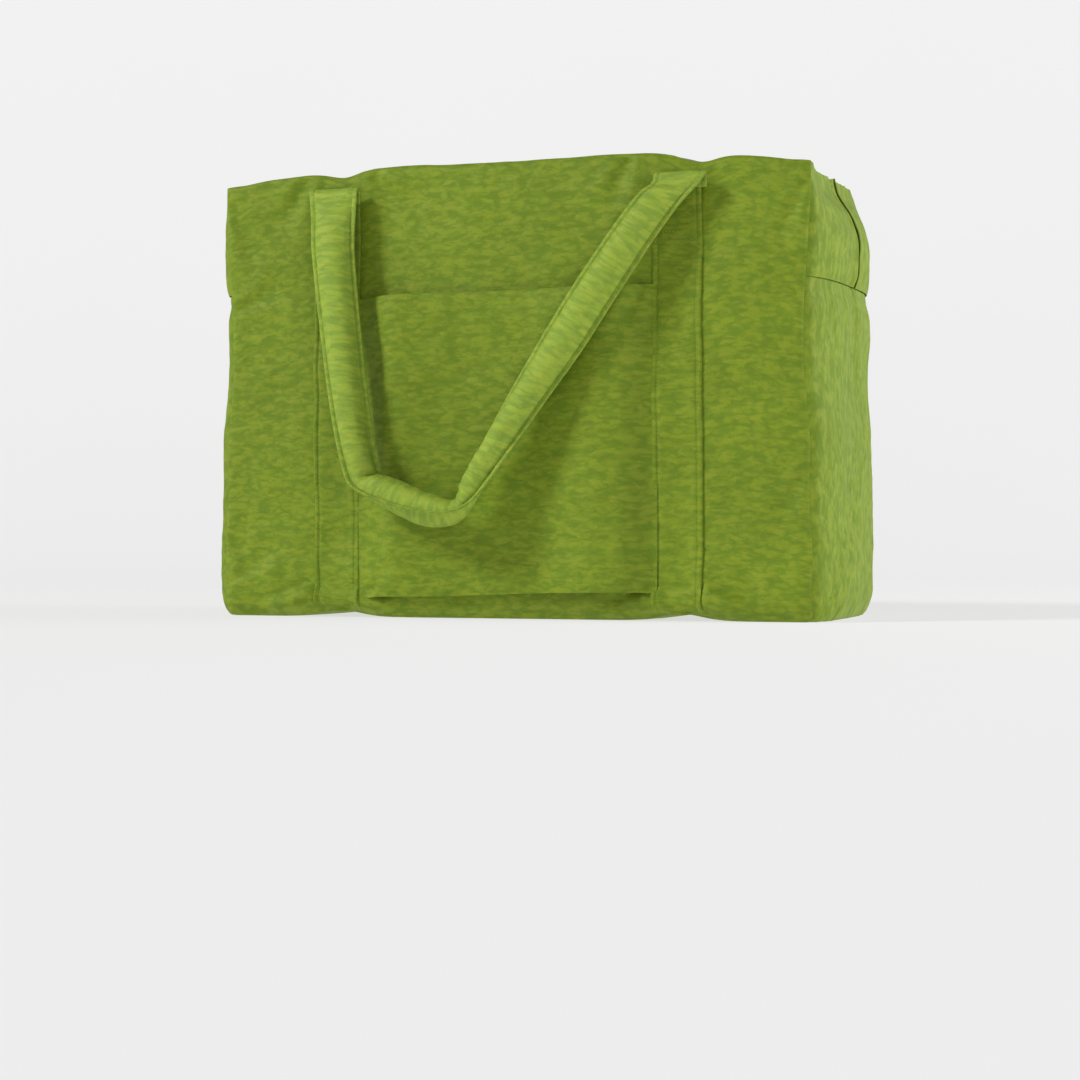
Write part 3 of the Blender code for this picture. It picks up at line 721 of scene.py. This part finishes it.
def face_distance(x, z, sign):
    """How far a face panel stands from the bag's middle plane, at a place as turn() takes it."""
    place = Vector((-sign * x, sign * 0.5, min(z, top_seam(np.float64(x)) - 1.5 * MM)))
    hit = FACE_TREES[sign].ray_cast(place, Vector((0, -sign, 0)))[0]
    return abs(hit.y) if hit else RIM


def turn(points, sign):
    """What is drawn for the back. With sign 1 it is turned half round to the front."""
    return points * np.array([-sign, -sign, 1.0])


# ---------------------------------------------------------------- webs and their stitches

WEB_HALF = 20.8 * MM
WEB_STITCH = 4.6 * MM  # from a web's edge to its stitches
WEB_THICK = 1.8 * MM
WEB_FOOT = 5.0 * MM  # height of its lower end
TACK_ROWS = (0.3035, 0.3105)  # heights of the two rows of cross stitches


def web_stand(z):
    """How far a web's inner side stands off the panel: sewn up to the tack, free above it."""
    free = np.clip((z - TACK_ROWS[1]) / (FOLD_Z - TACK_ROWS[1]), 0, 1)
    return 0.25 * MM + 6.0 * MM * free * free


def make_web(side, sign, hand, seed):
    x_middle = -WEB_X - 3.0 * MM if hand == "left" else WEB_X - 1.0 * MM
    edge = -WEB_HALF + np.array([0.0, 0.5, 1.6, 3.2, 3.9, 4.6, 5.4, 7.0]) * MM
    half = np.concatenate([edge, np.linspace(-WEB_HALF + 10 * MM, 0, 4)])
    across = np.concatenate([half, -half[:-1][::-1]])
    from_edge = WEB_HALF - np.abs(across)
    heights = np.arange(WEB_FOOT, FOLD_Z - 4 * MM, 2.6 * MM)
    rings, lines = [], {-1: [], 1: []}
    for z in heights:
        base = np.array([face_distance(x_middle + u, z, sign) for u in across])
        base = np.maximum(base, base.mean() - 1.2 * MM)
        rounding = np.sqrt(np.clip(from_edge / (0.9 * MM), 0, 1))
        thick = WEB_THICK * (0.25 + 0.75 * rounding)
        thick -= 1.0 * MM * hill(from_edge, WEB_STITCH, 0.8 * MM)
        scallop = 0.35 * MM * noise(np.full(across.shape, z / 0.006), np.sign(across) * 3, seed)
        thick += scallop * hill(from_edge, 1.8 * MM, 1.6 * MM)
        middle = smooth((from_edge - 6 * MM) / (6 * MM))
        thick += crumple(across + x_middle, np.full(across.shape, z), seed) * 0.55 * middle
        sway = 0.7 * MM * noise(np.array([z / 0.03]), np.array([1.0]), seed + 5)
        # Its end is caught in the bottom seam.
        base -= 2.2 * MM * (1 - smooth((z - WEB_FOOT) / (5 * MM)))
        outer = base + web_stand(z) + np.maximum(thick, 0.3 * MM)
        inner = base + web_stand(z)
        ring_x = np.concatenate([across, across[::-1]]) + x_middle + sway
        ring_y = -np.concatenate([outer, inner[::-1] - 0.05 * MM])
        rings.append(np.stack([ring_x, ring_y, np.full(ring_x.shape, z)], axis=-1))
        for k in (-1, 1):
            column = int(np.argmin(abs(across - k * (WEB_HALF - WEB_STITCH))))
            lines[k].append(rings[-1][column])
    rings = turn(np.array(rings), sign)
    around = np.concatenate([across, across[::-1] + 0.06])
    uv = uv_grid(around, heights, 8 + seed / 10)
    web = mesh_object(f"{side}_web_cloth_{hand}", rings, tube_faces(*rings.shape[:2]), uv, NYLON)
    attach(web, "bag")
    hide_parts(f"{side}_web_{hand}")
    out = np.array([[0.0, sign, 0.0]])
    rows = [(turn(np.array(lines[k]), sign), np.repeat(out, len(heights), 0)) for k in (-1, 1)]
    thread = stitches(f"{side}_web_stitches_{hand}", rows, THREAD)
    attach(thread, "bag")
    make_tack(side, sign, hand, x_middle)


def make_tack(side, sign, hand, x_middle):
    """Two rows of slanting stitches across a web, where its sewn part ends."""
    xs = np.linspace(x_middle - WEB_HALF + WEB_STITCH, x_middle + WEB_HALF - WEB_STITCH, 16)
    rows = []
    for z in TACK_ROWS:
        ys = [-face_distance(x, z, sign) - web_stand(z) - WEB_THICK for x in xs]
        line = np.stack([xs, ys, np.full(xs.shape, z)], axis=-1)
        rows.append((turn(line, sign), np.repeat([[0.0, sign, 0.0]], len(xs), 0)))
    name = f"{side}_tack_stitches_{hand}"
    thread = stitches(name, rows, THREAD, length=2.4 * MM, radius=0.34 * MM, slant=0.5)
    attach(thread, "bag")
    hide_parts(f"{side}_tack_{hand}")


for place, (side, sign) in enumerate(SIDES):
    make_web(side, sign, "left", 20 * place)
    make_web(side, sign, "right", 20 * place + 10)


# ---------------------------------------------------------------- trolley sleeve

TUBES = (-0.0885, 0.0805)  # where the trolley's tubes have pushed the sleeve out
SLEEVE_HALF = 0.1290
SLEEVE_TOP = (0.2660, 0.2690)  # height of its open top at the left and at the right
TUBE_DEPTH = 13.8 * MM  # how far the tubes push it off the panel

SLEEVE_FOLDS = [  # mm
    (-120, 20, -92, 46, 4, 2.2),
    (-119, 262, -100, 225, 6, 1),
    (116, 20, 90, 45, 5, 2),
    (116, 265, 98, 220, 6, 2.2),
]


def sleeve_stand(x, z):
    """How far the sleeve stands off the panel: two ridges over the tubes and a slack middle."""
    left, right = TUBES
    wall = smooth((0.1275 - np.abs(x - 1.5 * MM)) / 0.030)
    ridges = 3.2 * MM * (hill(x, left, 0.017) + hill(x, right, 0.017))
    slack = 4.2 * MM * smooth((0.072 - np.abs(x - (left + right) / 2)) / 0.050)
    full = TUBE_DEPTH + ridges - slack + 1.3 * MM * rolling(x / 0.070, z / 0.12, 71)
    tucked = 1 - 0.25 * hill(z, 0.0, 0.035)
    return 0.3 * MM + full * wall * tucked


def make_sleeve():
    xs = stations(-SLEEVE_HALF, SLEEVE_HALF, 2.8 * MM)
    inner = np.linspace(0.022, 0.978, 76)
    shares = np.concatenate([[0.0, 0.004, 0.010], inner, [0.990, 0.996, 1.0]])
    x, share = np.meshgrid(xs, shares)
    dip = 1.6 * MM * hill(x, -0.122, 0.020) + 1.0 * MM * hill(x, 0.020, 0.060)
    high = np.interp(x, [-SLEEVE_HALF, SLEEVE_HALF], SLEEVE_TOP) - dip
    low = SLEEVE_FOOT + 4.5 * MM * (x / (2 * SLEEVE_HALF) + 0.5)
    low = low + 1.0 * MM * np.sin(x * 24) - 1.5 * MM * hill(x, -0.122, 0.012)
    z = low + (high - low) * share
    base = np.array([[face_distance(a, b, -1) for a, b in zip(*row)] for row in zip(x, z)])
    # It hangs from its sides and its filled front, so the panel's small lumps don't show in it.
    base = 0.6 * base + 0.4 * np.array([face_distance(a, 0.15, -1) for a in xs])[None]
    hem = 0.5 * MM * smooth((0.004 - np.minimum(high - z, z - low)) / 0.003)
    stand = sleeve_stand(x, z) + crumple(x, z, 55) * 0.8 - hem
    stand -= folds(x, z, SLEEVE_FOLDS)
    hollow = hill(high - z, 0, 0.020) * 1.5 * MM * noise(x / 0.035, x * 0, 77)
    y = -base - np.maximum(stand + hollow, 0.25 * MM) - 0.9 * MM
    points = np.stack([x, y, z], axis=-1)
    uv = uv_grid(xs, SLEEVE_FOOT + shares * (SLEEVE_TOP[0] - SLEEVE_FOOT), 7.4)
    sleeve = cloth_sheet("trolley_sleeve_cloth", points, uv, NYLON, 0.9 * MM, outward=(0, -1, 0))
    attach(sleeve, "bag")
    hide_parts("trolley_sleeve")


make_sleeve()


# ---------------------------------------------------------------- handles

STRAP_STITCH = 4.2 * MM
STRAP_FLANGE = 0.95 * MM
# Distances from an edge at which the strap's section has points, out to half its least width.
STRAP_PLACES = np.array([0.0, 0.5, 1.6, 3.0, 3.7, 4.2, 4.8, 5.8, 7.2, 9.0, 11.0, 13.0]) * MM
FOLD_RADIUS = 3.7 * MM

# The hanging strap, from its left fold round to its right one. Each row gives its outer edge
# (x, z, distance from the middle plane), its inner edge, and how high its front and back puff up.
STRAP_ROUTE = [  # mm
    (-169, 352, 119, -126, 352, 119, 0.6, 0.4),
    (-166.5, 334, 121, -126.2, 335, 121, 5, 1.5),
    (-164.5, 308, 125, -126.2, 307, 124, 9.5, 3),
    (-159, 274, 130, -121.5, 272, 129, 11, 4),
    (-151.5, 234, 136, -115, 231, 135, 11.5, 4.5),
    (-143, 190, 142, -108, 188, 140, 11.5, 4.5),
    (-134, 152, 148, -102, 152, 142, 12, 4.5),
    (-126, 127, 153, -98, 131, 140, 10.5, 4.5),
    (-118, 111, 158, -97, 119, 135, 6.5, 5),
    (-106, 103, 162, -92, 113, 133, 11, 7),
    (-90, 97, 164, -80, 106, 132, 12.5, 10),
    (-70, 91, 164.5, -64, 99, 132, 12, 13),
    (-48, 87, 164.5, -47, 93, 133, 10.5, 14),
    (-28, 87, 163.5, -32, 92, 133, 6.5, 11),
    (-11, 95, 159, -24, 103, 134, 9.5, 6),
    (5, 115, 153, -17, 124, 136, 11, 4.5),
    (29, 149, 148, 1, 159, 138, 12, 4.5),
    (54, 184, 143, 24, 198, 138, 11, 4.5),
    (77, 216, 139, 45, 233, 136, 11.5, 4.5),
    (100, 252, 135, 69, 271, 133, 11, 4),
    (129, 297, 129, 99, 315, 128, 10, 3),
    (150, 327, 124, 117, 339, 123, 6, 1.5),
    (165.5, 345, 120, 127.5, 347.5, 120, 2, 0.6),
    (171, 352, 119, 129, 352, 119, 0.6, 0.4),
]


def strap_frames(nearer):
    """The hanging strap at even steps along it.

    Returns the length run, its middle, the directions of its outer edge and of its face, half its
    width and its two puffs. nearer is how far its lower part is drawn in towards the panel.
    """
    rows = through(STRAP_ROUTE, 10) * MM
    fall = smooth((0.335 - rows[:, 1]) / 0.11) * nearer
    outer = np.stack([rows[:, 0], -(rows[:, 2] - fall), rows[:, 1]], axis=-1)
    inner = np.stack([rows[:, 3], -(rows[:, 5] - fall), rows[:, 4]], axis=-1)
    puffs = rows[:, 6:8]
    # A fold at each end takes the strap back over the top to its web.
    arc = np.linspace(0.0, math.pi, 11)[1:]
    over = [(FOLD_RADIUS * (1 - math.cos(a)), FOLD_RADIUS * math.sin(a)) for a in arc]
    over += [(2 * FOLD_RADIUS, -4.5 * MM), (2 * FOLD_RADIUS + 0.2 * MM, -9 * MM)]
    move = np.array([[0.0, back, rise] for back, rise in over])
    flat = np.repeat(np.array([[0.0004, 0.0003]]), len(over), 0)
    outer = np.vstack([(outer[0] + move)[::-1], outer, outer[-1] + move])
    inner = np.vstack([(inner[0] + move)[::-1], inner, inner[-1] + move])
    puffs = np.vstack([flat, puffs, flat])
    middle = (outer + inner) / 2
    run = run_along(middle)
    even = np.arange(0.0, run[-1], 2.0 * MM)

    outer, inner, puffs = (
        np.stack([np.interp(even, run, column) for column in values.T], axis=-1)
        for values in (outer, inner, puffs)
    )
    middle = (outer + inner) / 2
    edge = unit(outer - inner)
    tangent = unit(np.gradient(middle, axis=0))
    face = unit(np.cross(edge, tangent))
    front = face[len(face) // 4]
    face *= (1 if front[1] < 0 else -1)
    return even, middle, edge, face, np.linalg.norm(outer - inner, axis=1) / 2, puffs


def strap_height(from_edge, half, puff):
    """Height of the cloth over the strap's middle surface: a flat stitched edge, then a roll."""
    flange = STRAP_FLANGE * np.sqrt(np.clip((from_edge + 0.12 * MM) / (0.7 * MM), 0, 1))
    inside = np.clip((from_edge - STRAP_STITCH) / (half - STRAP_STITCH), 0, 1)
    swell = (1 - (1 - inside) ** 2.4) ** 0.62
    return flange + puff * swell - 0.5 * MM * hill(from_edge, STRAP_STITCH, 0.7 * MM)


def make_handle(side, sign, nearer, seed):
    run, middle, edge, face, halves, puffs = strap_frames(nearer)
    bend = np.linalg.norm(np.gradient(unit(np.gradient(middle, axis=0)), run, axis=0), axis=1)
    bend += 0.6 * np.linalg.norm(np.gradient(face, run, axis=0), axis=1)
    bend = np.clip(np.convolve(bend, np.ones(7) / 7, "same") / 45.0, 0, 1)
    rings, lines = [], {key: [] for key in ((-1, 1), (1, 1), (-1, -1), (1, -1))}
    for i, s in enumerate(run):
        half, (front_puff, back_puff) = halves[i], puffs[i]
        near = np.concatenate([STRAP_PLACES * half / (17 * MM), [half]])
        near = np.minimum(near, half)
        near[:6] = STRAP_PLACES[:6]
        from_edge = np.concatenate([near, near[:-1][::-1]])
        u = np.concatenate([near - half, half - near[:-1][::-1]])
        inside = smooth((from_edge - STRAP_STITCH) / (5 * MM))
        fullness = min(front_puff / (8 * MM), 1.0)
        row = np.full(u.shape, s)
        bowed = row + 5 * MM * (u / half) ** 2
        wrinkle = 0.5 * MM * (creases(bowed / 0.0095, u / 0.026, seed) - 0.5)
        wrinkle += 0.8 * MM * rolling(bowed / 0.017, u / 0.024, seed + 5)
        wrinkle += (0.25 + bend[i]) * 2.6 * MM * (creases(row / 0.015, u / 0.020, seed + 9) - 0.6)
        rise = strap_height(from_edge, half, front_puff)
        rise += wrinkle * inside * (0.15 + 0.85 * fullness)
        waves = 0.3 * MM * rolling(row / 0.011, np.sign(u) * 4, seed + 2)
        rise += waves * hill(from_edge, 1.5 * MM, 2.0 * MM)
        under = strap_height(from_edge, half, back_puff)
        under += 0.5 * MM * inside * rolling(row / 0.02, u / 0.03, seed + 3)
        over, below = np.maximum(rise, 0.12 * MM), -np.maximum(under[::-1], 0.12 * MM)
        wide = np.concatenate([u, [half - 1.0 * MM], u[::-1], [1.0 * MM - half]])
        high = np.concatenate([over, [0.0], below, [0.0]])
        rings.append(middle[i] + np.outer(wide, edge[i]) + np.outer(high, face[i]))
        for (hand, facing), line in lines.items():
            level = float(strap_height(np.float64(STRAP_STITCH), half, 0.0)) + 0.15 * MM
            place = middle[i] + edge[i] * hand * (half - STRAP_STITCH) + face[i] * facing * level
            line.append((place, face[i] * facing))
    rings = turn(np.array(rings), sign)
    faces = tube_faces(*rings.shape[:2])
    uv = uv_grid(np.linspace(0.0, 0.085, rings.shape[1]), run, 9 + seed / 7)
    # The strap's cloth is painted lighter, as if lit on its front, and also paler for its filling.
    strap = mesh_object(f"{side}_handle_strap", rings, faces, uv, PADDED_NYLON_PAINTED_LIGHT)
    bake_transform(strap)
    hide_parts(f"{side}_handle_cover", f"{side}_handle_pad")
    rows = [tuple(turn(np.array(part), sign) for part in zip(*line)) for line in lines.values()]
    thread = stitches(f"{side}_handle_stitches", rows, THREAD)
    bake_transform(thread)


make_handle("back", -1, 0.0, 500)
make_handle("front", 1, 10 * MM, 600)


# ---------------------------------------------------------------- zip and bindings

TAPE_PLACES = np.array([0.25, 1.5, 2.6, 4.0, 5.5, 7.0]) * MM  # from the middle of the zip
TOOTH_PITCH, TOOTH_LENGTH, TOOTH_RADIUS = 1.5 * MM, 2.6 * MM, 0.42 * MM
STOP_RUN = 12 * MM  # from the end seam to a stop
STOP_HALF = (0.9 * MM, 1.7 * MM, 2.2 * MM)  # half a stop's size
BINDING = ((1.6, 2.0), (3.4, 2.4), (5.4, 2.9), (7.4, 3.4))  # rows: mm from the seam, off the panel


def make_zip():
    """Tape and teeth under the slot, each in four parts."""
    for end, _ in ENDS:
        for side, sign in SIDES:
            across = sign * TAPE_PLACES
            points, run = belt_grid(half_runs(end), 0, across, plain=True)
            normals = surface_normals(points)
            tape = points - normals * 1.9 * MM
            uv = np.swapaxes(uv_grid(run, across, 20), 0, 1)
            piece = cloth_sheet(f"zip_tape_{side}_{end}_cloth", tape, uv, TAPE, 0.6 * MM)
            mouth_blend(piece)
            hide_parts(f"zip_tape_{side}", f"zip_tape_{end}")
            line = points[:, 1] - normals[:, 1] * 1.1 * MM
            line -= np.array([0.0, sign * 0.5 * MM, 0.0])
            if side == "front":
                line = line[1:]  # its teeth fall between the back half's
            row = [(line, normals[-len(line):, 1])]
            name = f"zip_teeth_{side}_{end}"
            teeth = stitches(name, row, COIL, TOOTH_PITCH, TOOTH_LENGTH, TOOTH_RADIUS, math.pi / 2)
            mouth_blend(teeth)
            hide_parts(f"zip_coil_{side}", f"zip_coil_{end}")


def make_stops():
    """A metal stop across the zip just above each end seam."""
    for end, sign in ENDS:
        points, run = belt_grid(half_runs(end), 0, np.array([-1.0, 0.0, 1.0]) * MM, plain=True)
        place = points[np.argmin(abs(run - STOP_RUN)), 1] - np.array([sign * 2.0 * MM, 0.0, 0.0])
        cube = np.array([[x, y, z] for x in (-1, 1) for y in (-1, 1) for z in (-1, 1)])
        corners = cube * np.array(STOP_HALF) + place
        faces = [(0, 1, 3, 2), (4, 6, 7, 5), (0, 4, 5, 1), (2, 3, 7, 6), (0, 2, 6, 4), (1, 5, 7, 3)]
        stop = mesh_object(f"zip_end_stop_{end}", corners, faces, corners[:, :2], METAL)
        bevel = stop.modifiers.new("Rounding", "BEVEL")
        bevel.width, bevel.segments = 0.5 * MM, 3
        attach(stop, "bag")
        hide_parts(f"zip_stop_{end}")


def make_bindings():
    """A narrow tape over the allowance of each long seam, inside the bag."""
    for (side, sign), grid in zip(SIDES, (BACK_GRID, FRONT_GRID)):
        edges = (grid[:, 0], grid[-1, :], grid[::-1, -1], grid[0, ::-1])  # once round
        path = np.concatenate([edge[::2][min(k, 1):] for k, edge in enumerate(edges)])
        tangent = unit(np.roll(path, -2, axis=0) - np.roll(path, 2, axis=0))
        inward = unit(np.stack([tangent[:, 2], 0 * tangent[:, 1], -tangent[:, 0]], axis=-1))
        inward *= np.sign(np.sum(inward * (CENTRE - path), axis=1))[:, None]
        away = np.array([0.0, -sign, 0.0])
        points = np.array([path + inward * deep * MM + away * lean * MM for deep, lean in BINDING])
        points = np.concatenate([points, points[:, :1]], axis=1)
        run = np.arange(points.shape[1]) * 6.4 * MM
        uv = uv_grid(run, np.arange(4) * 2 * MM, 24 + sign)
        tape = cloth_sheet(f"seam_tape_{side}", points, uv, TAPE, 0.8 * MM, outward=(0, sign, 0))
        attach(tape, "bag")
        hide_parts(f"seam_binding_{side}")


make_zip()
make_stops()
make_bindings()
for name in ("zip_slider", "zip_pull"):
    node = frame["nodes"][name]
    node.data.materials.clear()
    node.data.materials.append(METAL)


# ---------------------------------------------------------------- floor, light and camera


def make_stage():
    """A round studio: a pale floor that curves up into a wall on all sides."""
    centre_y, radius, cove, wall = -4.5, 7.7, 1.6, 2.2
    profile = [(0.0, 0.0), (1.5, 0.0), (3.0, 0.0), (4.5, 0.0), (radius - cove, 0.0)]
    for angle in np.linspace(0, math.pi / 2, 20)[1:]:
        profile.append((radius - cove + cove * math.sin(angle), cove * (1 - math.cos(angle))))
    profile.append((radius, wall))
    turns = np.linspace(0, 2 * math.pi, 97)
    rings = [[(r * math.cos(a), centre_y + r * math.sin(a), z) for a in turns] for r, z in profile]
    points = np.array(rings)
    m = Nodes("studio_paper")
    grain = m.noise(m.uv(), (0.8, 0.8), 2)[0]
    m.drive("Base Color", m.mix(grain, (0.24, 0.24, 0.24, 1), (0.26, 0.26, 0.26, 1)))
    m.set(Roughness=1.0, Specular_IOR_Level=0.0, Emission_Strength=0.645)
    m.set(Emission_Color=(1.0, 0.993, 0.993, 1))
    faces = grid_faces(*points.shape[:2])
    floor = mesh_object("studio_floor", points, faces, points[..., :2], m.material)
    floor.location.z = -0.2 * MM


def area_light(name, place, target, size, power):
    data = bpy.data.lights.new(name, "AREA")
    data.shape = "SQUARE"
    data.size = size
    data.energy = power
    lamp = bpy.data.objects.new(name, data)
    lamp.location = place
    lamp.rotation_euler = (Vector(target) - Vector(place)).to_track_quat("-Z", "Y").to_euler()
    bpy.context.scene.collection.objects.link(lamp)


def make_light():
    world = bpy.data.worlds.new("studio")
    world.use_nodes = True
    colour, strength = world.node_tree.nodes["Background"].inputs[:2]
    colour.default_value, strength.default_value = (1, 1, 1, 1), 0.06
    bpy.context.scene.world = world
    middle = (0.0, 0.0, 0.18)
    area_light("key", (-5.8, -4.9, 5.6), middle, 1.8, 600)
    area_light("side", (2.6, 0.5, 1.0), middle, 1.4, 50)
    area_light("fill", (2.0, -3.0, 1.0), middle, 1.6, 18)


def make_camera():
    data = bpy.data.cameras.new("camera")
    data.lens = 80
    data.sensor_width = 36
    camera = bpy.data.objects.new("camera", data)
    place, target = Vector((0.66005, -1.95127, 0.07408)), Vector((-0.0065, 0.0, 0.064))
    camera.location = place
    camera.rotation_euler = (target - place).to_track_quat("-Z", "Y").to_euler()
    bpy.context.scene.collection.objects.link(camera)
    bpy.context.scene.camera = camera


make_stage()
make_light()
make_camera()
bpy.context.scene.view_settings.view_transform = "Standard"
